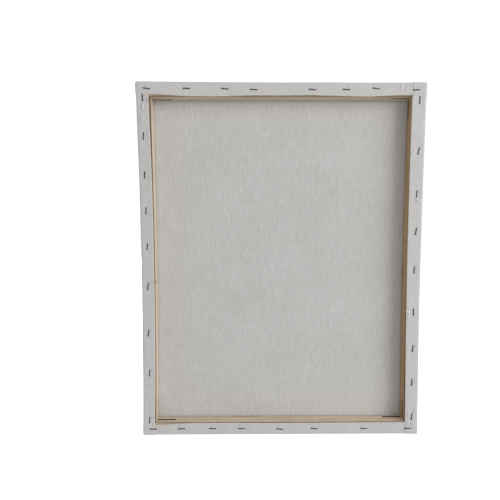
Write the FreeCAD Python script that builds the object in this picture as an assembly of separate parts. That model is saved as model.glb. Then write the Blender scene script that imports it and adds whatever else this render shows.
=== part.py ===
import FreeCAD, Part
import math
import os

from FreeCAD import Vector

# A stretched canvas, 40 x 50 cm, standing upright with its back towards -Y.
# X is the width, Y the depth (the painting face looks along +Y) and Z the height.
# The origin is the middle of the bottom edge, half way through the whole depth.
# All sizes are in millimetres.

# Overall size, over the cloth.
WIDTH = 400.0
HEIGHT = 500.0

# The cloth, how far short of the bars' inner edges its turned-over flaps stop, and how
# far the folded corners reach along the top and bottom flaps.
CLOTH = 0.5
FLAP_STOP = 1.0
LAP_LENGTH = 19.0
UPPER_LEFT_SHORT = 2.2  # this corner's fold is narrower, with a staple just under it

# The pine bars: section, raised lip, bevel and rounded edges.
BAR_FACE = 18.0
BAR_DEPTH = 20.0
LIP_FLAT = 3.0
BEVEL_DROP = 2.5
ARRIS_ROUND = 2.5
EDGE_ROUND = 1.5
CORNER_ROUND = 2.0

# The tight cloth pulls the two long bars in by this much at half height.
LEFT_BOW = 2.6
RIGHT_BOW = 2.0

# The corner joint, counted from the front face of the bars towards the back.
FRONT_CHEEK = 3.4
TONGUE = 3.6
WEB = 2.2
TONGUE_CLEARANCE = 0.1
KEY_SLOT = 28.0

# The staples: flat wire, a wide crown and two legs with chisel points.
CROWN = 10.6
WIRE_WIDTH = 1.2
WIRE_THICK = 0.6
LEG = 7.0
BEND_ROUND = 0.6
CHISEL = 1.0
STAPLE_FROM_CORNER = 14.5
SIDE_STAPLE_FROM_CORNER = 22.5

# Staples were put in by hand, so each one has its own place along the row (0 to 1,
# left to right or bottom to top), its distance in from the outer edge and its lean.
TOP_STAPLES = [
    (0.00, 8.0, -8.0), (0.147, 8.0, -2.0), (0.29, 8.5, -6.0), (0.396, 9.5, -4.0),
    (0.614, 9.5, -6.0), (0.74, 9.5, -3.0), (0.85, 8.0, -8.0), (1.00, 10.0, 2.0),
]
BOTTOM_STAPLES = [
    (0.00, 9.5, 1.0), (0.113, 9.5, -1.0), (0.234, 9.5, -1.0), (0.347, 9.5, -2.0),
    (0.497, 8.5, -7.0), (0.632, 9.0, -5.0), (0.827, 9.0, -2.0), (1.00, 9.0, -1.0),
]
LEFT_STAPLES = [
    (0.00, 10.0, -4.0), (0.154, 10.0, -8.0), (0.283, 9.0, -10.0), (0.43, 9.0, -7.0),
    (0.554, 9.0, -8.0), (0.665, 8.5, -4.0), (0.774, 8.0, -2.0), (0.891, 8.0, -4.0),
    (1.005, 8.5, 3.0),
]
RIGHT_STAPLES = [
    (0.008, 8.5, -5.0), (0.12, 9.0, -4.0), (0.23, 8.5, -8.0), (0.347, 8.5, 1.0),
    (0.48, 9.0, -2.0), (0.60, 8.0, -9.0), (0.715, 8.5, -5.0), (0.846, 8.0, -12.0),
    (0.998, 9.0, -1.0),
]

# Places that follow from the sizes above.
HALF_WIDTH = WIDTH / 2 - CLOTH
BOTTOM_Z = CLOTH
TOP_Z = HEIGHT - CLOTH
MID_Z = HEIGHT / 2
TOTAL_DEPTH = CLOTH + BAR_DEPTH + CLOTH + CLOTH + WIRE_THICK
FRONT_Y = TOTAL_DEPTH / 2 - CLOTH
BACK_Y = FRONT_Y - BAR_DEPTH
FLAP_Y = BACK_Y - CLOTH
LAP_Y = FLAP_Y - CLOTH
FLAP_INSET = BAR_FACE - FLAP_STOP
FLAP = CLOTH + FLAP_INSET
TONGUE_ONE = FRONT_CHEEK
TONGUE_TWO = FRONT_CHEEK + TONGUE + WEB

# Extra length on what is cut to size afterwards, and the depth that counts as flat.
SPARE = 30.0
FLAT = 0.01


# ---- The outline of the frame, seen from the back ------------------------------------------

def bow_radius(bow):
    """Radius of the arc that a long bar takes when its middle is pulled in by bow."""
    half_length = MID_Z - BOTTOM_Z
    return (half_length ** 2 + bow ** 2) / (2 * bow)


def bow_centre(side):
    """X of the centre of a long bar's arc. side is -1 for the left bar and 1 for the right."""
    bow = LEFT_BOW if side < 0 else RIGHT_BOW
    return side * (HALF_WIDTH - bow + bow_radius(bow))


def side_x(side, inward, z):
    """X of the line that runs inward mm inside a long bar's outer face, at height z."""
    bow = LEFT_BOW if side < 0 else RIGHT_BOW
    radius = bow_radius(bow) + inward
    return bow_centre(side) - side * math.sqrt(radius ** 2 - (z - MID_Z) ** 2)


def outline(inset):
    """Closed wire in the XZ plane, inset mm inside the outer faces of the four bars."""
    low = BOTTOM_Z + inset
    high = TOP_Z - inset
    left_low = Vector(side_x(-1, inset, low), 0, low)
    left_mid = Vector(side_x(-1, inset, MID_Z), 0, MID_Z)
    left_high = Vector(side_x(-1, inset, high), 0, high)
    right_low = Vector(side_x(1, inset, low), 0, low)
    right_mid = Vector(side_x(1, inset, MID_Z), 0, MID_Z)
    right_high = Vector(side_x(1, inset, high), 0, high)
    edges = [
        Part.LineSegment(left_low, right_low).toShape(),
        Part.Arc(right_low, right_mid, right_high).toShape(),
        Part.LineSegment(right_high, left_high).toShape(),
        Part.Arc(left_high, left_mid, left_low).toShape(),
    ]
    return Part.Wire(edges)


def slab(wire, y_low, y_high):
    """Solid over a flat wire in the XZ plane, from y_low to y_high."""
    face = Part.Face(wire)
    face.translate(Vector(0, y_low, 0))
    return face.extrude(Vector(0, y_high - y_low, 0))


def polygon(points):
    """Closed wire in the XZ plane through (x, z) points."""
    vectors = [Vector(x, 0, z) for x, z in points]
    return Part.makePolygon(vectors + [vectors[0]])


def block(x_low, x_high, y_low, y_high, z_low, z_high):
    size = (x_high - x_low, y_high - y_low, z_high - z_low)
    return Part.makeBox(*size, Vector(x_low, y_low, z_low))


def rounded_slab(inset, y_low, y_high, corner, edge):
    """Slab with rounded corners, and with rounded front and back edges."""
    solid = slab(outline(inset), y_low, y_high)
    upright = [e for e in solid.Edges if e.BoundBox.YLength > (y_high - y_low) / 2]
    solid = solid.makeFillet(corner, upright)
    around = [e for e in solid.Edges if e.BoundBox.YLength < FLAT]
    return solid.makeFillet(edge, around)


# ---- The four bars -------------------------------------------------------------------------

def bar_section(place):
    """Cross-section of a bar. place(u, v) puts a point u mm in from the outer face and
    v mm behind the front face."""
    slope_end = place(BAR_FACE, BEVEL_DROP)
    arris_start = place(BAR_FACE, BAR_DEPTH - ARRIS_ROUND)
    bulge = ARRIS_ROUND * (1 - math.sqrt(0.5))
    arris_mid = place(BAR_FACE - bulge, BAR_DEPTH - bulge)
    arris_end = place(BAR_FACE - ARRIS_ROUND, BAR_DEPTH)
    corners = [arris_end, place(0, BAR_DEPTH), place(0, 0), place(LIP_FLAT, 0), slope_end, arris_start]
    edges = [Part.LineSegment(a, b).toShape() for a, b in zip(corners, corners[1:])]
    edges.append(Part.Arc(arris_start, arris_mid, arris_end).toShape())
    return Part.Face(Part.Wire(edges))


def straight_bar(end):
    """Over-long straight bar for the bottom (end = -1) or the top (end = 1)."""
    outer_z = BOTTOM_Z if end < 0 else TOP_Z
    start = -WIDTH / 2 - SPARE
    section = bar_section(lambda u, v: Vector(start, FRONT_Y - v, outer_z - end * u))
    return section.extrude(Vector(WIDTH + 2 * SPARE, 0, 0))


def bowed_bar(side):
    """Over-long bar for the left (side = -1) or the right (side = 1), bent to its arc."""
    outer_x = side_x(side, 0, MID_Z)
    section = bar_section(lambda u, v: Vector(outer_x - side * u, FRONT_Y - v, MID_Z))
    centre = Vector(bow_centre(side), 0, MID_Z)
    half_turn = math.degrees(math.asin((MID_Z + SPARE) / abs(bow_centre(side) - outer_x)))
    section.rotate(centre, Vector(0, 1, 0), -half_turn)
    return section.revolve(centre, Vector(0, 1, 0), 2 * half_turn)


# ---- The corner joints ---------------------------------------------------------------------

def corner_line(side, end):
    """The mitre line of a corner: the outer and inner corner points, run on a little."""
    outer_z = BOTTOM_Z if end < 0 else TOP_Z
    inner_z = outer_z - end * BAR_FACE
    outer = Vector(side_x(side, 0, outer_z), 0, outer_z)
    inner = Vector(side_x(side, BAR_FACE, inner_z), 0, inner_z)
    run_on = (inner - outer) * 0.5
    return outer - run_on, inner + run_on


def beyond_mitre(side, end, of_side_bar, depth_from, depth_to):
    """What a mitre cut takes off a bar at one corner, between two depths."""
    outer, inner = corner_line(side, end)
    if of_side_bar:
        far = end * (HEIGHT + SPARE)
        points = [(outer.x, outer.z), (inner.x, inner.z), (inner.x, far), (outer.x, far)]
    else:
        far = side * (WIDTH + SPARE)
        points = [(outer.x, outer.z), (inner.x, inner.z), (far, inner.z), (far, outer.z)]
    return slab(polygon(points), FRONT_Y - depth_to, FRONT_Y - depth_from)


def key_slot(side, end, of_side_bar, depth):
    """The slot sawn into a bar's end, across the whole bar, TONGUE thick and a bit over."""
    y_high = FRONT_Y - depth + TONGUE_CLEARANCE
    y_low = FRONT_Y - depth - TONGUE - TONGUE_CLEARANCE
    reach = BAR_FACE + KEY_SLOT
    if of_side_bar:
        near = BOTTOM_Z + reach if end < 0 else TOP_Z - reach
        far = near + end * (reach + SPARE)
        return block(-WIDTH, WIDTH, y_low, y_high, min(near, far), max(near, far))
    near = side * (HALF_WIDTH - reach)
    far = near + side * (reach + SPARE)
    return block(min(near, far), max(near, far), y_low, y_high, -SPARE, HEIGHT + SPARE)


def cut_corner(bar, side, end, of_side_bar, slot_behind):
    """Shape one end of a bar. slot_behind ends have their tongue in front and their slot
    behind it, and the ends that meet them are the other way round."""
    slot_depth = TONGUE_TWO if slot_behind else TONGUE_ONE
    tongue_depth = TONGUE_ONE if slot_behind else TONGUE_TWO
    in_front = beyond_mitre(side, end, of_side_bar, 0, tongue_depth)
    behind = beyond_mitre(side, end, of_side_bar, tongue_depth + TONGUE, BAR_DEPTH)
    slot = key_slot(side, end, of_side_bar, slot_depth)
    return bar.cut([in_front, behind, slot])


# ---- The staples ---------------------------------------------------------------------------

def staple_solid():
    """One staple round the origin: crown along X, its underside at y = 0, legs along +Y."""
    half = CROWN / 2
    inner = half - WIRE_THICK
    outer_round = BEND_ROUND + WIRE_THICK
    near = 1 - math.sqrt(0.5)
    edges = []

    def line(a, b):
        edges.append(Part.LineSegment(Vector(*a, 0), Vector(*b, 0)).toShape())

    def bend(a, mid, b):
        edges.append(Part.Arc(Vector(*a, 0), Vector(*mid, 0), Vector(*b, 0)).toShape())

    line((-half + outer_round, -WIRE_THICK), (half - outer_round, -WIRE_THICK))
    for s in (1, -1):
        outer_bend = [
            (s * (half - outer_round), -WIRE_THICK),
            (s * (half - near * outer_round), -WIRE_THICK + near * outer_round),
            (s * half, -WIRE_THICK + outer_round),
        ]
        inner_bend = [
            (s * inner, BEND_ROUND),
            (s * (inner - near * BEND_ROUND), near * BEND_ROUND),
            (s * (inner - BEND_ROUND), 0),
        ]
        bend(*outer_bend)
        line(outer_bend[-1], (s * half, LEG - CHISEL))
        line((s * half, LEG - CHISEL), (s * inner, LEG))
        line((s * inner, LEG), inner_bend[0])
        bend(*inner_bend)
    line((-inner + BEND_ROUND, 0), (inner - BEND_ROUND, 0))
    face = Part.Face(Part.Wire(Part.__sortEdges__(edges)))
    solid = face.extrude(Vector(0, 0, WIRE_WIDTH))
    solid.translate(Vector(0, 0, -WIRE_WIDTH / 2))
    return solid


def placed_staple(x, z, angle, seat_y):
    """A staple whose crown lies at (x, z), turned by angle, with its underside at seat_y."""
    solid = staple_solid()
    solid.rotate(Vector(0, 0, 0), Vector(0, 1, 0), -angle)
    solid.translate(Vector(x, seat_y, z))
    return solid


def over_lap(x, z):
    """True where a staple's middle sits on a folded corner, one cloth higher."""
    near_side = abs(x) > WIDTH / 2 - LAP_LENGTH
    near_end = min(z, HEIGHT - z) < FLAP
    return near_side and near_end


def level_row(end, spots):
    """Staples along the top or bottom bar, from left to right."""
    first = -WIDTH / 2 + STAPLE_FROM_CORNER
    span = WIDTH - 2 * STAPLE_FROM_CORNER
    row = []
    for share, inset, lean in spots:
        x = first + share * span
        z = inset if end < 0 else HEIGHT - inset
        seat = LAP_Y if over_lap(x, z) else FLAP_Y
        row.append(placed_staple(x, z, lean, seat))
    return row


def upright_row(side, spots):
    """Staples along the left or right bar, from bottom to top."""
    span = HEIGHT - 2 * SIDE_STAPLE_FROM_CORNER
    row = []
    for share, inset, lean in spots:
        z = SIDE_STAPLE_FROM_CORNER + share * span
        x = side_x(side, inset - CLOTH, z)
        row.append(placed_staple(x, z, 90 + lean, FLAP_Y))
    return row


# ---- The cloth -----------------------------------------------------------------------------

def cloth_tray():
    """The cloth as it lies on the frame: front panel, four sides and four turned flaps."""
    outer = rounded_slab(-CLOTH, FLAP_Y, FRONT_Y + CLOTH, CORNER_ROUND + CLOTH, EDGE_ROUND + CLOTH)
    tray = outer.cut(frame_envelope())
    opening = slab(outline(FLAP_INSET), FLAP_Y - CLOTH, BACK_Y + CLOTH / 2)
    return tray.cut(opening)


def frame_envelope():
    """The space that the four bars fill, which the cloth lies against."""
    return rounded_slab(0, BACK_Y, FRONT_Y, CORNER_ROUND, EDGE_ROUND)


def corner_laps():
    """The folded cloth at each corner, one layer thicker than the flaps."""
    margin = EDGE_ROUND + CORNER_ROUND
    laps = []
    for side in (-1, 1):
        for end in (-1, 1):
            xs = sorted([side * (WIDTH / 2 - margin), side * (WIDTH / 2 - LAP_LENGTH)])
            edge_z = 0 if end < 0 else HEIGHT
            lap = FLAP_INSET - (UPPER_LEFT_SHORT if (side, end) == (-1, 1) else 0)
            zs = sorted([edge_z - end * margin, edge_z - end * lap])
            laps.append(block(xs[0], xs[1], LAP_Y, FLAP_Y, zs[0], zs[1]))
    return laps


# ---- Put together --------------------------------------------------------------------------

staples = {
    "top_staples": level_row(1, TOP_STAPLES),
    "bottom_staples": level_row(-1, BOTTOM_STAPLES),
    "left_staples": upright_row(-1, LEFT_STAPLES),
    "right_staples": upright_row(1, RIGHT_STAPLES),
}
all_staples = [solid for row in staples.values() for solid in row]

# Going round the frame, every bar has one end with its key slot behind its tongue and
# one end with it in front, so the four corners are alike.
bars = {}
for name, end, slot_behind_at in (("bottom_bar", -1, -1), ("top_bar", 1, 1)):
    bar = straight_bar(end)
    for side in (-1, 1):
        bar = cut_corner(bar, side, end, False, side == slot_behind_at)
    bars[name] = bar
for name, side, slot_behind_at in (("left_bar", -1, 1), ("right_bar", 1, -1)):
    bar = bowed_bar(side)
    for end in (-1, 1):
        bar = cut_corner(bar, side, end, True, end == slot_behind_at)
    bars[name] = bar

nodes = {}
for name, bar in bars.items():
    nodes[name] = bar.common(frame_envelope()).cut(all_staples)
nodes["canvas"] = cloth_tray().fuse(corner_laps()).removeSplitter().cut(all_staples)
for name, row in staples.items():
    nodes[name] = Part.makeCompound(row)

os.makedirs("parts", exist_ok=True)
for name, shape in nodes.items():
    shape.exportStep("parts/" + name + ".step")
    print(name, len(shape.Solids), "solid(s)", round(shape.Volume), "mm3", shape.isValid())
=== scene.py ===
import math
import random

import bmesh
import bpy
import numpy as np
from mathutils import Matrix, Vector, noise


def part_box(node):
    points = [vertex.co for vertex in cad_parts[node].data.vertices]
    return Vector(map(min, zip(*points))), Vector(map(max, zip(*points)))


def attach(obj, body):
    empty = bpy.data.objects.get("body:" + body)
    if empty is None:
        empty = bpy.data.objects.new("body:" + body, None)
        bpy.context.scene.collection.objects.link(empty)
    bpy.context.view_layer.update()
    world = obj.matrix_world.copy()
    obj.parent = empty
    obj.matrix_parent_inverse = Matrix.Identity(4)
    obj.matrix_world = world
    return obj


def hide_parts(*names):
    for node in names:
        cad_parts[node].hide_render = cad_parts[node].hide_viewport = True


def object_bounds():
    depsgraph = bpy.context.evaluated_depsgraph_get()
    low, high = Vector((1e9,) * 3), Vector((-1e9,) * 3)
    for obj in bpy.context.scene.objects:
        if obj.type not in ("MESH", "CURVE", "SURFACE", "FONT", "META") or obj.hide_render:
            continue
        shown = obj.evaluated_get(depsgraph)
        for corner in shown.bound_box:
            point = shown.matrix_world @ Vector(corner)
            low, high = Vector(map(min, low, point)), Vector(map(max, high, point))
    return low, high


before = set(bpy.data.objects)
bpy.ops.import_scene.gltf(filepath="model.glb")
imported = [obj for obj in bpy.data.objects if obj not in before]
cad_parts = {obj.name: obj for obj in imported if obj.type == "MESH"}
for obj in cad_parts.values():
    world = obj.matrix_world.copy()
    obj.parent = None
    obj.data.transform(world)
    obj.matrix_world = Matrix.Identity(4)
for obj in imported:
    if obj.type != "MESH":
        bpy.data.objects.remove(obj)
cad_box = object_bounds()


# ---- The stretcher bars -----------------------------------------------------------------------
# Four bars of planed pine, mitred and slotted together at the corners, with no finish on them.
# Their shapes are the CAD's own. Grain runs along each bar. The rounded inner arris under the
# cloth's cut edge and the sawn slots of the joints are darker with painted shade.

MM = 0.001
PINE_LIGHT = "#D9C8B0"
PINE_DARK = "#AE9273"
# Dark brown of the knot, the wood's own, and of the painted shade at the arris.
KNOT_AND_SHADE_BROWN = "#55402C"
# Painted shade inside the sawn slots of the joints.
SLOT_SHADE = "#4A3826"
RING_WIDTH = 2.2 * MM
GRAIN_LENGTH = 55 * MM
PALE_TONE = 0.51  # the mean of the grain's two noises where the wood is palest
# The dark arris and the darkening in the joints' slots are painted shade.
SHADE_WAVE = 11.111 * MM  # the dark arris wanders over about this length
ARRIS_NEAR = 0.7 * MM  # past the bar's inner face, the dark arris starts and stops fading
ARRIS_FAR = 1.5 * MM
SLOT_NEAR = 0.15 * MM  # past the same face, a sawn slot starts and stops darkening
SLOT_FAR = 0.9 * MM
KNOT_CORE = 1.2 * MM
KNOT_RIM = 3.6 * MM


def linear(hex_colour):
    """An sRGB hex colour as linear RGBA."""
    parts = [int(hex_colour[i:i + 2], 16) / 255 for i in (1, 3, 5)]
    rgb = [p / 12.92 if p <= 0.04045 else ((p + 0.055) / 1.055) ** 2.4 for p in parts]
    return (*rgb, 1.0)


def add(tree, kind, inputs=None, **settings):
    """Adds a shader node, with its settings and with values or links on its inputs."""
    made = tree.nodes.new("ShaderNode" + kind)
    for name, value in settings.items():
        setattr(made, name, value)
    for name, value in (inputs or {}).items():
        if isinstance(value, bpy.types.NodeSocket):
            tree.links.new(value, made.inputs[name])
        else:
            made.inputs[name].default_value = value
    return made


def new_material(name):
    """An empty node material, its tree and its Principled BSDF."""
    material = bpy.data.materials.new(name)
    material.use_nodes = True
    tree = material.node_tree
    return material, tree, tree.nodes["Principled BSDF"]


bar_low, bar_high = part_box("bottom_bar")
BAR_FACE = bar_high.z - bar_low.z
BAR_BACK = bar_low.y
BAR_FRONT = bar_high.y
MID_HEIGHT = (cad_box[0].z + cad_box[1].z) / 2
OPENING_HALF_HEIGHT = MID_HEIGHT - bar_high.z
OPENING_HALF_WIDTH = 181.5 * MM  # at the corners, where the side bars haven't bowed in
CUTS_MIDDLE = 2.4 * MM  # along Y, the middle and half depth of the sawn slots in the joints
CUTS_REACH = 5.2 * MM


def pine(name, along_x, shift, arris_shade_reach, pale=PINE_LIGHT, deep=PINE_DARK, knot=None):
    """Planed pine: pale early wood, darker growth lines along the bar, a dull soft surface, with
    painted shade at the arris under the cloth's cut edge and in the joints' slots. The fourth
    argument is how far that arris shade reaches down the bar's inner face."""
    material, tree, shader = new_material(name)
    # The grain: two noises drawn out along the bar, darker the further they are from their mean.
    place = add(tree, "TexCoord").outputs["Object"]
    across = 1 / RING_WIDTH
    along = 1 / GRAIN_LENGTH
    scale = (along, across, across) if along_x else (across, across, along)
    grain_place = add(tree, "Mapping", {"Vector": place, "Scale": scale, "Location": shift})
    rings = add(tree, "TexNoise", {"Vector": grain_place.outputs["Vector"], "Scale": 0.55,
                                   "Detail": 3.0, "Roughness": 0.55, "Distortion": 0.5})
    lines = add(tree, "TexNoise", {"Vector": grain_place.outputs["Vector"], "Scale": 2.4,
                                   "Detail": 4.0, "Roughness": 0.65})
    mixed = add(tree, "Math", {0: rings.outputs["Fac"], 1: lines.outputs["Fac"]}, operation="ADD")
    half = add(tree, "Math", {0: mixed.outputs[0], 1: 0.5}, operation="MULTIPLY")
    away_from_pale = add(tree, "Math", {0: half.outputs[0], 1: PALE_TONE}, operation="SUBTRACT")
    either_way = add(tree, "Math", {0: away_from_pale.outputs[0]}, operation="ABSOLUTE")
    dark = add(tree, "MapRange", {"Value": either_way.outputs[0], "From Min": 0.03,
                                  "From Max": 0.16})
    colour = add(tree, "Mix", {"Factor": dark.outputs["Result"], 6: linear(pale),
                               7: linear(deep)}, data_type="RGBA").outputs[2]
    # Painted shade at the arris, in the crevice under the cloth's cut edge: a band that starts at
    # the bar's back and wanders down its inner face.
    split = add(tree, "SeparateXYZ", {"Vector": place})
    wander = add(tree, "TexNoise", {"Vector": place, "Scale": 1 / SHADE_WAVE, "Detail": 2.0})
    wavy = add(tree, "Math", {0: wander.outputs["Fac"], 1: 0.5 * MM, 2: split.outputs["Y"]},
               operation="MULTIPLY_ADD")
    band = add(tree, "MapRange", {"Value": wavy.outputs[0], "From Min": BAR_BACK + arris_shade_reach,
                                  "From Max": BAR_BACK + arris_shade_reach * 1.35, "To Min": 0.92,
                                  "To Max": 0.0}, interpolation_type="SMOOTHSTEP")
    across_bar = split.outputs["Z" if along_x else "X"]
    from_centre = add(tree, "Math", {0: across_bar, 1: MID_HEIGHT if along_x else 0.0},
                      operation="SUBTRACT")
    outwards = add(tree, "Math", {0: from_centre.outputs[0]}, operation="ABSOLUTE")
    opening = OPENING_HALF_HEIGHT if along_x else OPENING_HALF_WIDTH
    at_arris = add(tree, "MapRange", {"Value": outwards.outputs[0],
                                      "From Min": opening + ARRIS_NEAR,
                                      "From Max": opening + ARRIS_FAR, "To Min": 1.0,
                                      "To Max": 0.2 if along_x else 1.0})
    painted_shade = add(tree, "Math", {0: band.outputs["Result"], 1: at_arris.outputs["Result"]},
                  operation="MULTIPLY")
    colour = add(tree, "Mix", {"Factor": painted_shade.outputs[0], 6: colour, 7: linear(KNOT_AND_SHADE_BROWN)},
                 data_type="RGBA").outputs[2]
    # Painted shade inside the sawn slots of the corner joints.
    inside = add(tree, "MapRange", {"Value": outwards.outputs[0],
                                    "From Min": opening + SLOT_NEAR,
                                    "From Max": opening + SLOT_FAR})
    in_cuts = add(tree, "Math", {0: split.outputs["Y"], 1: CUTS_MIDDLE, 2: CUTS_REACH},
                  operation="COMPARE")
    slot_shade = add(tree, "Math", {0: inside.outputs["Result"], 1: in_cuts.outputs[0]},
               operation="MULTIPLY")
    colour = add(tree, "Mix", {"Factor": slot_shade.outputs[0], 6: colour, 7: linear(SLOT_SHADE)},
                 data_type="RGBA").outputs[2]
    if knot:
        away = add(tree, "VectorMath", {0: place, 1: knot}, operation="DISTANCE")
        spot = add(tree, "MapRange", {"Value": away.outputs["Value"], "From Min": KNOT_CORE,
                                      "From Max": KNOT_RIM, "To Min": 0.75, "To Max": 0.0},
                   interpolation_type="SMOOTHSTEP")
        colour = add(tree, "Mix", {"Factor": spot.outputs["Result"], 6: colour,
                                   7: linear(KNOT_AND_SHADE_BROWN)}, data_type="RGBA").outputs[2]
    tree.links.new(colour, shader.inputs["Base Color"])
    rough = add(tree, "MapRange", {"Value": lines.outputs["Fac"], "To Min": 0.55, "To Max": 0.75})
    tree.links.new(rough.outputs["Result"], shader.inputs["Roughness"])
    bump = add(tree, "Bump", {"Height": lines.outputs["Fac"], "Strength": 0.25,
                              "Distance": 0.15 * MM})
    tree.links.new(bump.outputs["Normal"], shader.inputs["Normal"])
    return material


def paint(node, material):
    """Gives a CAD node its material."""
    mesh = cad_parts[node].data
    mesh.materials.clear()
    mesh.materials.append(material)


left_low, left_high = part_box("left_bar")
KNOT_HEIGHT = 223 * MM
knot_place = (left_high.x - 0.5 * MM, (BAR_BACK + BAR_FRONT) / 2 - 1 * MM, KNOT_HEIGHT)
# Each bar is cut from its own board, so its grain and its two tones differ a little. The right
# bar's much darker tones are painted shade, as its inner face is turned from the light.
paint("bottom_bar", pine("pine_bottom", True, (0.3, 1.7, 0.2), 1.3 * MM, "#E4D2BA", "#BB9F80"))
paint("top_bar", pine("pine_top", True, (4.1, 0.4, 2.6), 1.4 * MM))
paint("left_bar", pine("pine_left", False, (2.2, 3.1, 0.9), 3.0 * MM, "#E8D6BF", "#C2A587",
                       knot_place))
paint("right_bar", pine("pine_right_painted_shade", False, (0.8, 5.3, 3.4), 2.8 * MM, "#BEA07B", "#876443"))


# ---- The canvas -------------------------------------------------------------------------------
# One piece of plain-woven cotton, primed white on the outside and raw on the inside. It lies flat
# on the raised lips of the bars, runs over their outer faces and is turned over onto the back,
# where its cut edge wanders between the staples. It is built as loops round the frame.

canvas_low, canvas_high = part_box("canvas")
right_low, right_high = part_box("right_bar")
CLOTH = bar_low.z - canvas_low.z
HALF_WIDTH = (canvas_high.x - canvas_low.x) / 2
HEIGHT = canvas_high.z - canvas_low.z
LEFT_BOW = left_high.x - left_low.x - BAR_FACE
RIGHT_BOW = right_high.x - right_low.x - BAR_FACE
PANEL_Y = BAR_FRONT + CLOTH
FLAP_Y = BAR_BACK - CLOTH
EDGE_ROUND = 2.0 * MM
CORNER_ROUND = 2.5 * MM

# Width of the turned-over flap in mm along each side (0 to 1, left to right, bottom to top).
FLAP_WIDTHS = {
    "bottom": [(0.0, 15.0), (0.045, 15.3), (0.07, 16.8), (0.1, 17.6), (0.15, 18.0), (0.3, 18.1),
               (0.45, 17.5), (0.67, 17.5), (0.75, 17.9), (0.9, 18.0), (1.0, 18.0)],
    "right": [(0.0, 18.2), (0.1, 18.3), (0.25, 18.8), (0.5, 19.3), (0.75, 19.6), (1.0, 19.6)],
    "top": [(0.0, 15.2), (0.04, 15.8), (0.1, 17.8), (0.15, 18.4), (0.27, 18.5), (0.4, 17.3),
            (0.5, 17.5), (0.63, 17.2), (0.7, 17.9), (0.77, 18.5), (0.84, 18.9), (0.91, 17.6),
            (1.0, 16.4)],
    "left": [(0.0, 17.4), (0.12, 18.0), (0.3, 18.4), (0.5, 18.1), (0.71, 18.1), (0.82, 17.4),
             (0.93, 16.9), (1.0, 16.6)],
}
# How far in mm the cloth stands off each outer face at the back edge, where it isn't tight.
SLACK = {
    "bottom": [(0.0, 0.0), (1.0, 0.0)],
    "right": [(0.0, 0.9), (0.15, 1.3), (0.5, 1.0), (1.0, 0.8)],
    "top": [(0.0, 1.9), (0.09, 1.9), (0.15, 1.5), (0.22, 1.3), (0.36, 1.0), (0.5, 0.7),
            (0.67, 0.9), (0.77, 0.4), (0.84, 0.3), (0.91, 0.8), (1.0, 0.4)],
    "left": [(0.0, 0.0), (0.6, 0.1), (0.75, 0.3), (0.9, 0.8), (1.0, 1.0)],
}
SLACK_REACH = 12 * MM  # the flap moves with the outer faces' slack this far in from them
EVEN_STEPS = np.linspace(0, 1, 401)
SMOOTHING = 21  # samples of a table that are smoothed together
STAPLE_GAP = 5 * MM  # vertices further apart than this along a row are of two staples
SIDES = ("bottom", "right", "top", "left")
GRID = 1.15 * MM  # between the mesh points along a loop
FLAP_ROWS = 16
WALL_ROWS = 3
COARSE = 10  # the flat panel's grid is this many times coarser than the loops
CORNER_STEPS = 5  # mesh points on each side of a corner that its rounding may move
columns = COARSE * round(2 * HALF_WIDTH / GRID / COARSE)
rows = COARSE * round(HEIGHT / GRID / COARSE)


def side_line(side, inset, z):
    """X of the line inset metres inside the cloth's left (-1) or right (1) side, at height z."""
    bow = LEFT_BOW if side < 0 else RIGHT_BOW
    from_middle = (z - HEIGHT / 2) / (HEIGHT / 2)
    return side * (HALF_WIDTH - inset - bow * (1 - from_middle ** 2))


def smooth_table(points):
    """Smooth values at even steps from 0 to 1, through a few (place, value) points."""
    places, values = zip(*points)
    straight = np.interp(EVEN_STEPS, places, values)
    window = np.hanning(SMOOTHING)
    padded = np.pad(straight, SMOOTHING // 2, mode="edge")
    return np.convolve(padded, window / window.sum(), mode="valid")


flap_tables = {side: smooth_table(points) for side, points in FLAP_WIDTHS.items()}
slack_tables = {side: smooth_table(points) for side, points in SLACK.items()}


def slack_push(x, y, z):
    """The cloth's shift (dx, dz) off the outer faces: most at the back edge, none at the front
    edge, and dying away over the flap."""
    depth = np.clip((PANEL_Y - y) / (PANEL_Y - FLAP_Y), 0, 1)
    shift = []
    for low, high, place, gap in (
            ("left", "right", z / HEIGHT, HALF_WIDTH - np.abs(x)),
            ("bottom", "top", x / (2 * HALF_WIDTH) + 0.5, HEIGHT / 2 - np.abs(z - HEIGHT / 2))):
        near = np.clip(1 - gap / SLACK_REACH, 0, 1) ** 1.5
        positive = x > 0 if low == "left" else z > HEIGHT / 2
        amount = np.where(positive, np.interp(place, EVEN_STEPS, slack_tables[high]),
                          np.interp(place, EVEN_STEPS, slack_tables[low]))
        shift.append(np.where(positive, 1, -1) * amount * MM * near * depth)
    return shift


def staple_spots(node, upright):
    """Middle and crown direction of each staple in a CAD row, read from its own mesh."""
    points = np.array([v.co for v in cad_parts[node].data.vertices])
    along = points[:, 2] if upright else points[:, 0]
    order = np.argsort(along)
    gaps = np.diff(along[order]) > STAPLE_GAP
    spots = []
    for group in np.split(order, np.nonzero(gaps)[0] + 1):
        flat = points[group][:, [0, 2]]
        middle = (flat.min(0) + flat.max(0)) / 2
        direction = np.linalg.svd(flat - flat.mean(0), full_matrices=False)[2][0]
        spots.append((middle, direction * np.sign(direction[1 if upright else 0])))
    return spots


side_places = staple_spots("left_staples", True) + staple_spots("right_staples", True)
staple_places = (staple_spots("top_staples", False) + staple_spots("bottom_staples", False)
                 + side_places)


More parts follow.
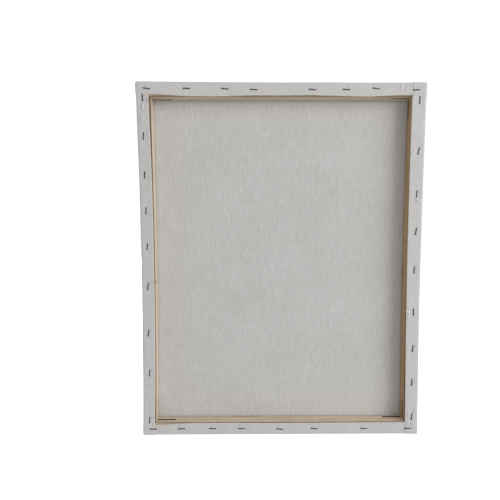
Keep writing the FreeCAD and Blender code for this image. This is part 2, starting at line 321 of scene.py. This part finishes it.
def ring(inset, corner, flap_share=None):
    """Points (x, z) of one closed loop round the cloth. With flap_share, the loop lies that
    share of the way from the outer edge to the cut edge."""
    points = []
    for side in SIDES:
        count = columns if side in ("bottom", "top") else rows
        share = np.arange(count) / count
        place = share if side in ("bottom", "right") else 1 - share
        depth = np.full(count, inset)
        if flap_share is not None:
            width = np.interp(place, EVEN_STEPS, flap_tables[side]) * MM
            depth = inset + flap_share * (width - inset)
        if side in ("bottom", "top"):
            z = depth if side == "bottom" else HEIGHT - depth
            left, right = side_line(-1, depth, z), side_line(1, depth, z)
            x = left + place * (right - left)
        else:
            corner_index = -1 if side == "right" else 0
            near = flap_tables["bottom"][corner_index] * MM
            far = flap_tables["top"][corner_index] * MM
            low, high = np.full(count, inset), np.full(count, inset)
            if flap_share is not None:
                low = inset + flap_share * (near - inset)
                high = inset + flap_share * (far - inset)
            z = low + place * (HEIGHT - high - low)
            x = side_line(1 if side == "right" else -1, depth, z)
        points.append(np.stack([x, z], axis=1))
    loop = np.concatenate(points)
    return round_corners(loop, corner)


def round_corners(loop, radius):
    """Pulls the points near each sharp corner of a loop onto an arc of that radius."""
    starts = (0, columns, columns + rows, 2 * columns + rows)
    rounded = loop.copy()
    for start in starts:
        corner = loop[start]
        inward = np.array([-np.sign(corner[0]), 1.0 if corner[1] < HEIGHT / 2 else -1.0])
        centre = corner + inward * radius
        for step in range(-CORNER_STEPS, CORNER_STEPS + 1):
            index = (start + step) % len(loop)
            reach = loop[index] - centre
            if np.all(reach * inward < 0) or step == 0:
                rounded[index] = centre + reach / np.linalg.norm(reach) * radius
    return rounded


# ---- The cloth's slack and creases ------------------------------------------------------------
# Between the staples the flap stands a little off the wood. Each staple pulls it down hard, and
# creases run off from the ends of its crown and from the folded corners.

HOLD_LENGTH = 8 * MM  # a staple holds the cloth down over this length and width
HOLD_WIDTH = 4.5 * MM
STAPLE_DENT = 0.06 * MM
SWELL_WAVE = 24 * MM
RIPPLE_WAVE = 7 * MM
CREASE_START = 4.6 * MM  # from a staple's middle, just inside the end of its crown
CREASES_PER_END = 3


def wrinkle(x, z, angle, length, height, width):
    """A crease in mm: starts at (x, z), runs off at angle degrees from +X. One of negative
    height is a hollow."""
    return (x * MM, z * MM, math.radians(angle), length * MM, height * MM, width * MM)


# Creases that stand out on the back, beside the ones that every staple makes.
wrinkles = [
    wrinkle(-191.5, 474, -88, 11, 2.4, 1.2),
    wrinkle(-198, 466, 56, 9, -1.6, 1.1),
    wrinkle(-193, 445, 84, 13, 1.7, 1.2),
    wrinkle(178, 499, -92, 13, 1.5, 1.4),
    wrinkle(173, 499, -95, 13, 1.2, 1.3),
    wrinkle(166, 499, -98, 12, 0.9, 1.6),
    wrinkle(196, 488, -90, 16, 1.0, 1.1),
    wrinkle(184, 345, -41, 15, 2.2, 1.3),
    wrinkle(189, 344, -80, 9, 1.0, 1.2),
    wrinkle(191, 32, 48, 9, 2.3, 1.1),
    wrinkle(185.5, 19, 82, 16, 2.4, 1.3),
    wrinkle(184, 14, 65, 9, 1.8, 1.1),
    wrinkle(187.5, 19, 20, 4, -1.8, 1.2),
    wrinkle(-188, 26, 50, 7, 1.0, 1.0),
    wrinkle(-186, 16, 35, 8, 1.0, 1.0),
    wrinkle(36, 499, -70, 6, 0.9, 1.2),
    wrinkle(93, 499, -88, 8, 1.0, 1.3),
]
crease_chance = random.Random(7)
for middle, direction in staple_places:
    axis = math.atan2(direction[1], direction[0])
    for end in (-1, 1):
        tip = middle + end * direction * CREASE_START
        for _ in range(CREASES_PER_END):
            away = axis + (0 if end > 0 else math.pi) + crease_chance.uniform(-1.0, 1.0)
            length = crease_chance.uniform(4, 10) * MM
            height = crease_chance.uniform(-0.4, 1.5) * MM
            width = crease_chance.uniform(0.8, 1.2) * MM
            wrinkles.append((tip[0], tip[1], away, length, height, width))


def noise_over(x, z, wave, layer):
    """Smooth noise at each point, with one swell to about every wave metres. Each layer holds
    another pattern."""
    return np.array([noise.noise(Vector((a / wave, b / wave, layer))) for a, b in zip(x, z)])


def swell(x, z, share):
    """How far the cloth of the flap stands off the wood: slack between the staples, tight at
    them, with a crease here and there. share is 0 at the outer edge and 1 at the cut edge."""
    tight = np.zeros_like(x)
    for middle, direction in staple_places:
        dx, dz = x - middle[0], z - middle[1]
        along = dx * direction[0] + dz * direction[1]
        across = dz * direction[0] - dx * direction[1]
        spot = np.exp(-(along / HOLD_LENGTH) ** 2 - (across / HOLD_WIDTH) ** 2)
        tight = np.maximum(tight, spot)
    rise = np.zeros_like(x)
    for cx, cz, angle, length, height, width in wrinkles:
        dx, dz = x - cx, z - cz
        along = dx * math.cos(angle) + dz * math.sin(angle)
        across = dz * math.cos(angle) - dx * math.sin(angle)
        fade = np.clip(1 - np.abs(along / length - 0.5) * 2, 0, 1)
        rise += height * np.sqrt(fade) * np.exp(-(across / width) ** 2)
    broad = noise_over(x, z, SWELL_WAVE, 1.3)
    fine = noise_over(x, z, RIPPLE_WAVE, 5.1)
    loose = (0.15 + 0.5 * share + 0.25 * broad + 0.12 * fine) * MM
    standing = np.maximum(loose * (1 - tight) + rise * (1 - 0.75 * tight), 0.0)
    return standing - STAPLE_DENT * tight


# ---- The folded corners -----------------------------------------------------------------------
# At each corner the sheet is gathered into a flat fold that lies on a flap as a second layer, with
# a rolled edge, and runs out in a slant on the bar's outer side. The side staples hold it down.

# Width in mm of each fold, by side (-1 left, 1 right) and end (-1 bottom, 1 top).
EAR_WIDTH = {(-1, -1): 17.2, (1, -1): 18.0, (1, 1): 19.3, (-1, 1): 14.9}
EAR_REACH = 30 * MM
EAR_END = EAR_REACH - 2 * MM  # here the layer has run into the flap
EAR_RUN_OUT = 12 * MM
EAR_MARGIN = 1.5 * MM  # beside a fold, the flap comes back up to its own height
EAR_LIFT = 0.52 * MM  # the thickness of the cloth and a little air
FOLD_ROUND = 0.9 * MM
FOLD_TUCK = 0.05 * MM  # the rolled edge is pressed this far into the flap
EAR_FALL = 0.32  # round the frame's outer edge the layer sinks this much for its length
SLANT_HEM = 0.3  # the last share of the slant, over which the layer runs out to nothing
SLANT_SINK = 0.15 * MM
SLANT_LEAST = 4 * MM  # the layer's reach down the outer side, below its rolled edge
SLANT_REST = 6 * MM  # at the corner it reaches the whole depth further, less this
HEM = np.array([0.8, 0.45, 0.2, 0.05, 0.0])  # mesh lines in mm before the rolled edge
PRESS_LENGTH = 7.5 * MM  # a crown presses the fold flat over this length and width
PRESS_WIDTH = 2.2 * MM


def corner_cover(x, z):
    """1 under a folded corner, where the flap is pressed flat, running out to 0 beside it."""
    cover = np.zeros_like(x)
    for (side, end), width in EAR_WIDTH.items():
        over = HALF_WIDTH - side * x
        along = z if end < 0 else HEIGHT - z
        if (side, end) == (-1, 1):
            over, along = along, over
        reach = np.clip((EAR_END - along) / EAR_RUN_OUT, 0, 1)
        beside = np.clip((width * MM + EAR_MARGIN - over) / EAR_MARGIN, 0, 1)
        cover = np.maximum(cover, reach * beside)
    return cover


FRONT_LOOP = 9 * MM  # how far in on the painting face the loops begin
PANEL_INSET = 14 * MM  # how far in the panel's own grid begins
SHARP_CORNER = 0.2 * MM
FLAP_CORNER = 1.3 * MM  # rounding of the flap's corners at its start, besides the sharp one's
CORNER_TAPER = 0.6  # how fast a corner's rounding shrinks as the cloth turns in
SCALLOP_WAVE = 30 * MM  # the outer faces bulge a little, by up to the height, over this length
SCALLOP_HEIGHT = 0.45 * MM
SIDE_STRIP = 6 * MM  # a point this near the outermost side or top is of that outer face
TOP_STRIP = 3 * MM


def cloth_mesh():
    """The whole wrapped cloth as one surface: panel, front edge, sides, back edge and flaps.
    Each loop comes with its Y, how far it faces outwards, and its share of the way over the
    flap."""
    turn = np.radians([0, 30, 60, 90])
    loops = [(ring(FRONT_LOOP, SHARP_CORNER), PANEL_Y, 0.0, None)]
    for a in turn:
        inset = EDGE_ROUND * (1 - math.sin(a))
        loop = ring(inset, CORNER_ROUND - CORNER_TAPER * inset)
        loops.append((loop, PANEL_Y - EDGE_ROUND * (1 - math.cos(a)), math.sin(a), None))
    for share in np.linspace(0, 1, WALL_ROWS + 2)[1:-1]:
        y = PANEL_Y - EDGE_ROUND + share * (FLAP_Y - PANEL_Y + 2 * EDGE_ROUND)
        loops.append((ring(0.0, CORNER_ROUND), y, 1.0, None))
    for a in turn:
        inset = EDGE_ROUND * (1 - math.cos(a))
        loop = ring(inset, CORNER_ROUND - CORNER_TAPER * inset)
        loops.append((loop, FLAP_Y + EDGE_ROUND * (1 - math.sin(a)), math.cos(a), None))
    for share in np.linspace(0, 1, FLAP_ROWS)[1:]:
        loop = ring(EDGE_ROUND, FLAP_CORNER * (1 - share) + SHARP_CORNER, share)
        loops.append((loop, FLAP_Y, 0.0, share))
    vertices = []
    for loop, y, outward, share in loops:
        x, z = loop[:, 0], loop[:, 1]
        depth = np.full(len(x), y)
        if share is not None:
            depth = y - swell(x, z, share) * (1 - corner_cover(x, z))
        dx, dz = slack_push(x, depth, z)
        wave = noise_over(x, z, SCALLOP_WAVE, 8.0)
        scallop = np.clip(0.2 + 0.6 * wave, 0, 1) * SCALLOP_HEIGHT * outward
        upright = np.abs(x) > HALF_WIDTH - SIDE_STRIP
        x = x + dx + np.where(upright, np.sign(x) * scallop, 0)
        z = z + dz + np.where(z > HEIGHT - TOP_STRIP, scallop, 0)
        vertices.append(np.stack([x, depth, z], axis=1))
    count = len(loops[0][0])
    raw_margin = range((len(loops) - 2) * count, (len(loops) - 1) * count)
    faces = []
    for k in range(len(loops) - 1):
        for i in range(count):
            j = (i + 1) % count
            faces.append((k * count + i, (k + 1) * count + i, (k + 1) * count + j, k * count + j))
    points = np.concatenate(vertices)
    inner, coarse_faces = panel_grid(points, count)
    return np.concatenate([points, inner]), faces + coarse_faces, raw_margin


def panel_grid(points, count):
    """The flat panel inside the first loop: a coarser grid, joined to every tenth point."""
    wide, tall = columns // COARSE, rows // COARSE
    z_low, z_high = PANEL_INSET, HEIGHT - PANEL_INSET
    inner = []
    for j in range(tall + 1):
        z = z_low + (z_high - z_low) * j / tall
        left, right = side_line(-1, PANEL_INSET, z), side_line(1, PANEL_INSET, z)
        for i in range(wide + 1):
            inner.append((left + (right - left) * i / wide, PANEL_Y, z))
    base = len(points)

    def at(i, j):
        return base + j * (wide + 1) + i

    faces = []
    for j in range(tall):
        for i in range(wide):
            faces.append((at(i, j), at(i + 1, j), at(i + 1, j + 1), at(i, j + 1)))
    edge = [at(i, 0) for i in range(wide)]
    edge += [at(wide, j) for j in range(tall)]
    edge += [at(wide - i, tall) for i in range(wide)]
    edge += [at(0, tall - j) for j in range(tall)]
    for k, here in enumerate(edge):
        after = edge[(k + 1) % len(edge)]
        outer = [(COARSE * k + step) % count for step in range(COARSE + 1)]
        faces.append((here, *outer, after))
    return np.array(inner), faces


def ear_mesh(side, end, upright):
    """One folded corner: the extra layer of cloth that lies on the flaps, rolls over the end
    edge and runs out in a slant on the bar's outer side. p runs along the fold, in metres on
    the back and from 0 to -1 down the outer side, and q runs across it."""
    width = EAR_WIDTH[(side, end)] * MM
    across = np.concatenate([[-3.4, -2.2, -1.1, 0.0], np.linspace(1.0, width / MM - 1.2, 18),
                             width / MM - HEM]) * MM
    back = np.linspace(EAR_REACH, 0, 32)
    wall = np.linspace(0, 1, 12)[1:]
    corner_z = 0.0 if end < 0 else HEIGHT
    vertices = []
    for i, p in enumerate(np.concatenate([back, -wall])):
        for q in across:
            run = p
            if p < 0:
                slant = 1 - np.clip(q / width, 0, 1)
                run = p * (SLANT_LEAST + slant * (PANEL_Y - FLAP_Y - SLANT_REST))
            # The nearest point of the frame's rounded edges, and the way out from it.
            flat = np.array([max(run, 0), max(q, 0), max(-run, -q, 0)])
            inside = np.maximum(flat, EDGE_ROUND)
            outward = flat - inside
            outward[2] = min(outward[2], 0) if run >= 0 and q >= 0 else outward[2]
            if np.linalg.norm(outward) < 1e-9:
                outward = np.array([-1.0 if run < 0 else 0.0, -1.0 if q < 0 else 0.0, 0.0])
            outward = outward / np.linalg.norm(outward)
            # The layer's height over the flap: it sinks away at its ends and rolls in at the fold.
            lift = EAR_LIFT * np.clip((EAR_END - p) / EAR_RUN_OUT, -0.6, 1)
            if q < 0:
                lift = min(lift, lift + q * EAR_FALL)
            if q > width - FOLD_ROUND:
                rolled = (q - width + FOLD_ROUND) / FOLD_ROUND
                lift = lift * math.sqrt(max(0.0, 1 - rolled ** 2)) - FOLD_TUCK
            if p < 0:
                ending = max(0.0, (-p - (1 - SLANT_HEM)) / SLANT_HEM)
                lift *= math.sqrt(max(0.0, 1 - ending ** 2))
                lift -= SLANT_SINK * (-p)
            along, over, deep = inside + outward * (EDGE_ROUND + lift)
            a, b = (over, along) if upright else (along, over)
            fade = np.clip((EAR_END - p) / EAR_RUN_OUT, 0, 1)
            inside_edge = np.clip((min(run, q) - EDGE_ROUND) / (2 * MM), 0, 1)
            vertices.append((a, FLAP_Y + deep, b, inside_edge * math.sqrt(fade), lift))
    inset, y, rise, creased, lifted = np.array(vertices, dtype=float).T
    z = corner_z - end * rise
    x = side_line(side, inset, z)
    y = y - creased * swell(x, z, 0.2)
    for middle, direction in side_places:
        lengthwise = (x - middle[0]) * direction[0] + (z - middle[1]) * direction[1]
        sideways = (z - middle[1]) * direction[0] - (x - middle[0]) * direction[1]
        pressed = np.exp(-(lengthwise / PRESS_LENGTH) ** 6 - (sideways / PRESS_WIDTH) ** 4)
        y = y + pressed * (creased > 0) * (np.maximum(lifted, 0) + 0.1 * MM)
    dx, dz = slack_push(x, y, z)
    vertices = np.stack([x + dx, y, z + dz], axis=1)
    wide = len(across)
    tall = len(vertices) // wide
    faces = []
    flip = (side * end > 0) == upright
    for i in range(tall - 1):
        for j in range(wide - 1):
            face = (i * wide + j, i * wide + j + 1, (i + 1) * wide + j + 1, (i + 1) * wide + j)
            faces.append(face[::-1] if flip else face)
    return vertices, faces


def cloth_object(name, points, faces, materials, raw_margin=()):
    """A sheet with the cloth's own thickness on its inner side, as one closed mesh. The faces in
    raw_margin are the last millimetre at the cut edge, which has lost its priming."""
    mesh = bpy.data.meshes.new(name)
    mesh.from_pydata([tuple(p) for p in points], [], [tuple(f) for f in faces])
    for index in raw_margin:
        mesh.polygons[index].material_index = 2
    flat_on_back = [f for f in mesh.polygons if abs(f.normal.y) > 0.9 and f.center.y < 0]
    if sum(f.normal.y for f in flat_on_back) > 0:
        mesh.flip_normals()
    made = bpy.data.objects.new(name, mesh)
    bpy.context.scene.collection.objects.link(made)
    for material in materials:
        mesh.materials.append(material)
    for polygon in mesh.polygons:
        polygon.use_smooth = True
    thick = made.modifiers.new("thickness", "SOLIDIFY")
    thick.thickness = CLOTH
    thick.offset = -1
    thick.material_offset = 1
    thick.material_offset_rim = 2
    depsgraph = bpy.context.evaluated_depsgraph_get()
    final = bpy.data.meshes.new_from_object(made.evaluated_get(depsgraph))
    made.modifiers.clear()
    made.data = final
    return made


# ---- The cotton -------------------------------------------------------------------------------
# Plain-woven cotton with uneven yarns, primed with white acrylic on the outside and raw inside.
# Where it is cut, the priming has cracked off and the yarns fray.

THREAD = 0.9 * MM
SLUB_LENGTH = 13.333 * MM  # thick places in the yarns: length, width, and size through the cloth
SLUB_WIDTH = 1.28205 * MM
SLUB_DEPTH = 3.84615 * MM
CLOUD_SIZE = 71.43 * MM  # broad, faint changes of tone
CLOUD_SHARE = 0.35
PRIMED = "#E1E0DE"
PRIMED_SHADE = "#D1D0CE"
RAW = "#E3E1DF"
RAW_SHADE = "#CECCC9"
FRAYED = "#F1E7D2"


def woven(name, light, shade, weave_depth, roughness, sheen, slub, weft_share):
    """Plain-woven cotton. Warp runs along Z and weft along X; on the sides of the frame the same
    two directions hold. The threads are drawn 0.9 mm apart, about one and a half times the real
    spacing, so that the weave still shows from half a metre. slub is half the range of tone
    that runs from shade to light, and weft_share is how strongly the yarns along X show."""
    mean_tone = 0.5 * (1 + weft_share + CLOUD_SHARE)
    material, tree, shader = new_material(name)
    # Streaks of tone along both yarns, and faint clouds over them.
    place = add(tree, "TexCoord").outputs["Object"]
    along, through, across = 1 / SLUB_LENGTH, 1 / SLUB_DEPTH, 1 / SLUB_WIDTH
    stretch_x = add(tree, "Mapping", {"Vector": place, "Scale": (along, through, across)})
    stretch_z = add(tree, "Mapping", {"Vector": place, "Scale": (across, through, along)})
    slubs_x = add(tree, "TexNoise", {"Vector": stretch_x.outputs["Vector"], "Scale": 1.0,
                                     "Detail": 3.0})
    slubs_z = add(tree, "TexNoise", {"Vector": stretch_z.outputs["Vector"], "Scale": 1.0,
                                     "Detail": 3.0})
    clouds = add(tree, "TexNoise", {"Vector": place, "Scale": 1 / CLOUD_SIZE, "Detail": 3.0})
    both = add(tree, "Math", {0: slubs_x.outputs["Fac"], 1: weft_share, 2: slubs_z.outputs["Fac"]},
               operation="MULTIPLY_ADD")
    sum_all = add(tree, "Math", {0: clouds.outputs["Fac"], 1: CLOUD_SHARE, 2: both.outputs[0]},
                  operation="MULTIPLY_ADD")
    tone = add(tree, "MapRange", {"Value": sum_all.outputs[0], "From Min": mean_tone - slub,
                                  "From Max": mean_tone + slub})
    colour = add(tree, "Mix", {"Factor": tone.outputs["Result"], 6: linear(shade),
                               7: linear(light)}, data_type="RGBA")
    tree.links.new(colour.outputs[2], shader.inputs["Base Color"])
    # The weave itself: a chequer of two sine waves, raised where a yarn is thick.
    split = add(tree, "SeparateXYZ", {"Vector": place})
    over = 2 * math.pi / THREAD
    wave_x = add(tree, "Math", {0: split.outputs["X"], 1: over}, operation="MULTIPLY")
    wave_z = add(tree, "Math", {0: split.outputs["Z"], 1: over}, operation="MULTIPLY")
    sine_x = add(tree, "Math", {0: wave_x.outputs[0]}, operation="SINE")
    sine_z = add(tree, "Math", {0: wave_z.outputs[0]}, operation="SINE")
    weave = add(tree, "Math", {0: sine_x.outputs[0], 1: sine_z.outputs[0]}, operation="MULTIPLY")
    height = add(tree, "Math", {0: both.outputs[0], 1: 2.0, 2: weave.outputs[0]},
                 operation="MULTIPLY_ADD")
    bump = add(tree, "Bump", {"Height": height.outputs[0], "Strength": 0.6,
                              "Distance": weave_depth})
    tree.links.new(bump.outputs["Normal"], shader.inputs["Normal"])
    shader.inputs["Roughness"].default_value = roughness
    shader.inputs["Sheen Weight"].default_value = sheen
    shader.inputs["Sheen Roughness"].default_value = 0.6
    shader.inputs["Specular IOR Level"].default_value = 0.3
    return material


# Priming fills the weave, so the outside is a plain matt white. The raw side is duller and has the
# soft glow of loose fibres. The cut edge shows the cream of the bare yarn.
primed_side = woven("primed_cotton", PRIMED, PRIMED_SHADE, 0.07 * MM, 0.78, 0.0, 0.42, 0.9)
raw_side = woven("raw_cotton", RAW, RAW_SHADE, 0.08 * MM, 0.95, 0.15, 0.27, 0.22)
cut_edge = woven("frayed_cotton", FRAYED, RAW, 0.1 * MM, 0.95, 0.15, 0.25, 0.5)

cloth_points, cloth_faces, raw_margin = cloth_mesh()
cloth = cloth_object("canvas_cloth", cloth_points, cloth_faces, [primed_side, raw_side, cut_edge],
                     raw_margin)
corners = []
for side, end in ((-1, -1), (1, -1), (1, 1), (-1, 1)):
    upright = (side, end) != (-1, 1)
    ear_points, ear_faces = ear_mesh(side, end, upright)
    corners.append(cloth_object("corner", ear_points, ear_faces,
                                [primed_side, raw_side, cut_edge]))


# ---- The frayed edge --------------------------------------------------------------------------
# Short loose ends of yarn along the cut edge, left where the cloth was cut and handled. Each is a
# thin tapered tube that starts inside the cloth's edge.

FIBRE_RADIUS = 0.10 * MM
FIBRE_STEPS = 4
FIBRE_SIDES = 4
FIBRE_ROOT = 0.3 * MM
FRAYED_SHARE = 0.62  # of the points along the edge, how many have a loose end
LONG_SHARE = 0.06  # of the loose ends, how many are long, and how much longer these are
LONG_FACTOR = 1.8
FIBRE_TAPER = 0.6


def frayed_threads(edge, depth, chance):
    """The loose ends as one object, drawn half as thick again as real ones so that they show.
    Each leaves the edge inwards and droops towards the wood."""
    vertices, faces = [], []
    for i in range(len(edge)):
        if chance.random() > FRAYED_SHARE:
            continue
        here, after = edge[i], edge[(i + 1) % len(edge)]
        along = (after - here) / max(np.linalg.norm(after - here), 1e-9)
        inward = np.array([-along[1], along[0]])
        lean = chance.uniform(-0.7, 0.7)
        heading = inward * math.cos(lean) + along * math.sin(lean)
        length = chance.uniform(0.5, 1.3) * MM
        length *= LONG_FACTOR if chance.random() < LONG_SHARE else 1.0
        droop = chance.uniform(-0.2, 0.7)
        base = len(vertices)
        for step in range(FIBRE_STEPS):
            t = step / (FIBRE_STEPS - 1)
            centre = here - inward * FIBRE_ROOT + heading * length * t
            y = depth[i] + CLOTH * 0.5 + droop * length * t * t
            radius = FIBRE_RADIUS * (1 - FIBRE_TAPER * t)
            for k in range(FIBRE_SIDES):
                turn = 2 * math.pi * k / FIBRE_SIDES
                x, z = centre + along * math.cos(turn) * radius
                vertices.append((x, y + math.sin(turn) * radius, z))
        for step in range(FIBRE_STEPS - 1):
            for k in range(FIBRE_SIDES):
                a = base + step * FIBRE_SIDES + k
                b = base + step * FIBRE_SIDES + (k + 1) % FIBRE_SIDES
                faces.append((a, b, b + FIBRE_SIDES, a + FIBRE_SIDES))
        faces.append(tuple(base + k for k in range(FIBRE_SIDES))[::-1])
        end = base + (FIBRE_STEPS - 1) * FIBRE_SIDES
        faces.append(tuple(end + k for k in range(FIBRE_SIDES)))
    mesh = bpy.data.meshes.new("frayed_edge")
    mesh.from_pydata(vertices, [], faces)
    cleaner = bmesh.new()
    cleaner.from_mesh(mesh)
    bmesh.ops.recalc_face_normals(cleaner, faces=cleaner.faces)
    cleaner.to_mesh(mesh)
    cleaner.free()
    mesh.materials.append(cut_edge)
    made = bpy.data.objects.new("frayed_edge", mesh)
    bpy.context.scene.collection.objects.link(made)
    return made


edge_line = ring(EDGE_ROUND, SHARP_CORNER, 1.0)
edge_rise = swell(*edge_line.T, 1.0) * (1 - corner_cover(*edge_line.T))
edge_depth = FLAP_Y - edge_rise
fray = frayed_threads(edge_line, edge_depth, random.Random(11))
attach(fray, "root")

# The sheet and its folded corners are one cloth, so they become one piece.
with bpy.context.temp_override(active_object=cloth, selected_editable_objects=[cloth] + corners):
    bpy.ops.object.join()
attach(cloth, "root")
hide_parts("canvas")


# ---- The staples ------------------------------------------------------------------------------
# Fine-wire steel staples from a hand tacker, with a thin dull zinc coat; their near-black tone is
# painted, as a dark reflection. Their shapes are the CAD's own: a flat crown on the cloth and two
# legs in the wood.

# The wire's two tones are painted nearly black, as a dark reflection.
WIRE_REFLECTION_PALE = "#3C3C40"
WIRE_REFLECTION_DEEP = "#19191C"
SPOT_SIZE = 1.1111 * MM


def dull_zinc():
    """Galvanised steel wire, painted nearly black on the white cloth as a dark reflection, with a
    soft highlight that breaks up over small spots."""
    material, tree, shader = new_material("dull_zinc_wire_painted_dark")
    place = add(tree, "TexCoord").outputs["Object"]
    spots = add(tree, "TexNoise", {"Vector": place, "Scale": 1 / SPOT_SIZE, "Detail": 3.0})
    patches = add(tree, "MapRange", {"Value": spots.outputs["Fac"], "From Min": 0.3,
                                     "From Max": 0.7})
    colour = add(tree, "Mix", {"Factor": patches.outputs["Result"], 6: linear(WIRE_REFLECTION_DEEP),
                               7: linear(WIRE_REFLECTION_PALE)}, data_type="RGBA")
    tree.links.new(colour.outputs[2], shader.inputs["Base Color"])
    shader.inputs["Metallic"].default_value = 1.0
    rough = add(tree, "MapRange", {"Value": spots.outputs["Fac"], "To Min": 0.3, "To Max": 0.5})
    tree.links.new(rough.outputs["Result"], shader.inputs["Roughness"])
    bump = add(tree, "Bump", {"Height": spots.outputs["Fac"], "Strength": 0.3,
                              "Distance": 0.05 * MM})
    tree.links.new(bump.outputs["Normal"], shader.inputs["Normal"])
    return material


zinc = dull_zinc()
for row in ("top_staples", "bottom_staples", "left_staples", "right_staples"):
    paint(row, zinc)


# ---- The studio -------------------------------------------------------------------------------
# A pale floor, a white surround that only the camera sees, one large soft light from the upper
# right of the stapled side, and a second one for the painting face.

WHITE = "#FFFFFF"
FLOOR_RADIUS = 6.0
SURROUND_RADIUS = 6.5
WORLD_LIGHT = 0.45


def soft_light(name, place, aim, size, power):
    """A white disc of light, size metres across, turned towards aim."""
    lamp = bpy.data.lights.new(name, "AREA")
    lamp.shape = "DISK"
    lamp.size = size
    lamp.energy = power
    lamp.color = linear(WHITE)[:3]
    made = bpy.data.objects.new(name, lamp)
    bpy.context.scene.collection.objects.link(made)
    made.location = place
    made.rotation_euler = (Vector(aim) - Vector(place)).to_track_quat("-Z", "Y").to_euler()


floor_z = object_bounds()[0].z - 0.2 * MM
bpy.ops.mesh.primitive_circle_add(vertices=96, radius=FLOOR_RADIUS, fill_type="NGON",
                                  location=(0, 0, floor_z))
floor = bpy.context.active_object
floor.name = "floor"
floor_material, _, floor_shader = new_material("pale_paper_floor")
floor_shader.inputs["Base Color"].default_value = linear("#F2F2F1")
floor_shader.inputs["Roughness"].default_value = 0.9
floor_shader.inputs["Emission Color"].default_value = linear(WHITE)
floor_shader.inputs["Emission Strength"].default_value = 0.75
floor.visible_diffuse = False
floor.data.materials.append(floor_material)
bpy.ops.mesh.primitive_uv_sphere_add(segments=64, ring_count=32, radius=SURROUND_RADIUS,
                                     location=(0, 0, 0))
surround = bpy.context.active_object
surround.name = "surround"
surround_material, _, surround_shader = new_material("white_surround")
surround_shader.inputs["Base Color"].default_value = linear("#000000")
surround_shader.inputs["Emission Color"].default_value = linear(WHITE)
surround_shader.inputs["Emission Strength"].default_value = 1.0
surround.data.materials.append(surround_material)
for hidden in ("visible_diffuse", "visible_glossy", "visible_transmission", "visible_shadow"):
    setattr(surround, hidden, False)

world = bpy.data.worlds.new("studio")
bpy.context.scene.world = world
world.use_nodes = True
background = world.node_tree.nodes["Background"]
background.inputs["Color"].default_value = linear(WHITE)
background.inputs["Strength"].default_value = WORLD_LIGHT
middle_of_back = (0, FLAP_Y, HEIGHT / 2)
soft_light("key", (2.5, -2.1, 0.95), middle_of_back, size=2.8, power=64.0)
soft_light("front_fill", (-1.3, 2.4, 1.4), middle_of_back, size=1.6, power=52.0)
bpy.context.scene.view_settings.view_transform = "Standard"

# The camera looks almost straight at the stapled back, from just over half a metre away.
CAMERA_PLACE = (-46.7 * MM, -544.9 * MM, 305.3 * MM)
CAMERA_YAW = 0.31  # degrees
CAMERA_PITCH = -3.79
CAMERA_ROLL = -0.09
SENSOR = 36.0
FOCAL_SHARE = 0.76  # focal length as a share of the sensor's width
camera_data = bpy.data.cameras.new("camera")
camera_data.sensor_width = SENSOR
camera_data.lens = SENSOR * FOCAL_SHARE
camera_data.clip_start = 0.01
camera = bpy.data.objects.new("camera", camera_data)
bpy.context.scene.collection.objects.link(camera)
camera.location = CAMERA_PLACE
turned = (Matrix.Rotation(math.radians(-CAMERA_YAW), 4, "Z")
          @ Matrix.Rotation(math.radians(90 + CAMERA_PITCH), 4, "X")
          @ Matrix.Rotation(math.radians(CAMERA_ROLL), 4, "Z"))
camera.rotation_euler = turned.to_euler()
bpy.context.scene.camera = camera
